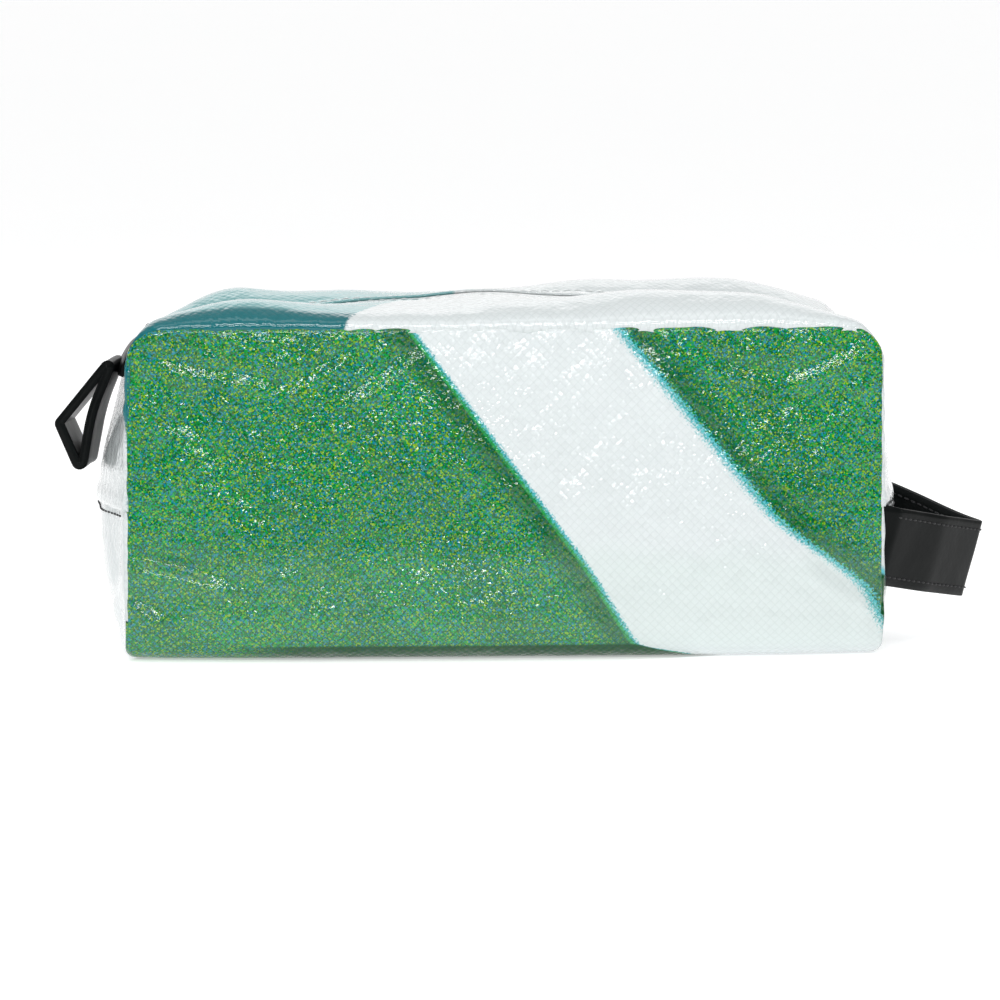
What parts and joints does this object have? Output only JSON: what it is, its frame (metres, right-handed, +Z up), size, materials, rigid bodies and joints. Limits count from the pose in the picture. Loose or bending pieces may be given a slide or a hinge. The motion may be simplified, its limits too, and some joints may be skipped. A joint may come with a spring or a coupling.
{
  "type": "toiletry bag",
  "caption": "Boxy zipped toiletry bag of glossy printed vinyl with an arched top zip, a side carry loop and a strap tab at the zip's end.",
  "frame": {"origin": "middle of the flat bottom, on the surface the bag stands on", "axes": "+X along the bag's length towards the carry loop, +Y to the back, +Z up"},
  "size_m": [0.2967, 0.104, 0.1123],
  "materials": {
    "printed_vinyl": "glossy printed vinyl, green with a white diagonal band",
    "gusset_vinyl": "glossy printed vinyl, white with teal",
    "strap_vinyl": "glossy black vinyl",
    "lining_fabric": "plain woven nylon",
    "zip_tape": "twill tape",
    "zip_teeth": "moulded",
    "zip_metal": "black lacquer on zinc"
  },
  "bodies": {
    "bag": {"body_panel": "printed_vinyl", "left_end_panel": "gusset_vinyl", "right_end_panel": "gusset_vinyl", "left_gusset_end": "gusset_vinyl", "right_gusset_end": "gusset_vinyl", "lining_panel": "lining_fabric", "left_lining_end": "lining_fabric", "right_lining_end": "lining_fabric", "left_tape_end": "zip_tape", "right_tape_end": "zip_tape", "left_end_teeth": "zip_teeth", "right_end_teeth": "zip_teeth", "left_stop": "zip_teeth", "right_stop": "zip_teeth", "front_handle_anchor": "strap_vinyl", "back_handle_anchor": "strap_vinyl", "zip_end_cover": "strap_vinyl"},
    "front_lip": {"front_lip_vinyl": "gusset_vinyl", "front_lip_lining": "lining_fabric", "front_tape": "zip_tape", "front_teeth": "zip_teeth"},
    "back_lip": {"back_lip_vinyl": "gusset_vinyl", "back_lip_lining": "lining_fabric", "back_tape": "zip_tape", "back_teeth": "zip_teeth"},
    "slider": {"slider_body": "zip_metal", "slider_bridge": "zip_metal", "lock_pin": "zip_metal"},
    "puller": {"puller": "zip_metal"},
    "handle": {"handle_outer": "strap_vinyl", "handle_inner": "strap_vinyl"},
    "end_tab": {"end_tab": "strap_vinyl"}
  },
  "joints": [
    {"name": "zip_travel", "type": "hinge", "parent": "bag", "child": "slider", "pos_m": [0, 0, -0.36758], "axis": [0, 1, 0], "range_deg": [0, 26], "deforming": ["front_teeth", "back_teeth", "left_end_teeth", "right_end_teeth"]},
    {"name": "puller_flip", "type": "hinge", "parent": "slider", "child": "puller", "pos_m": [-0.11008, 0, 0.1012], "axis": [0, -1, 0], "range_deg": [0, 160]},
    {"name": "front_lip_hinge", "type": "hinge", "parent": "bag", "child": "front_lip", "pos_m": [0, -0.0515, 0.105], "axis": [1, 0, 0], "range_deg": [0, 60]},
    {"name": "back_lip_hinge", "type": "hinge", "parent": "bag", "child": "back_lip", "pos_m": [0, 0.0515, 0.105], "axis": [-1, 0, 0], "range_deg": [0, 60]},
    {"name": "handle_swing", "type": "hinge", "parent": "bag", "child": "handle", "pos_m": [0.12, 0, 0.035], "axis": [0, -1, 0], "range_deg": [-20, 35], "stiffness_Nm_per_rad": 0.02, "springref_deg": 3.84},
    {"name": "end_tab_swing", "type": "hinge", "parent": "bag", "child": "end_tab", "pos_m": [-0.1195, 0, 0.092], "axis": [0, 1, 0], "range_deg": [0, 80]}
  ]
}
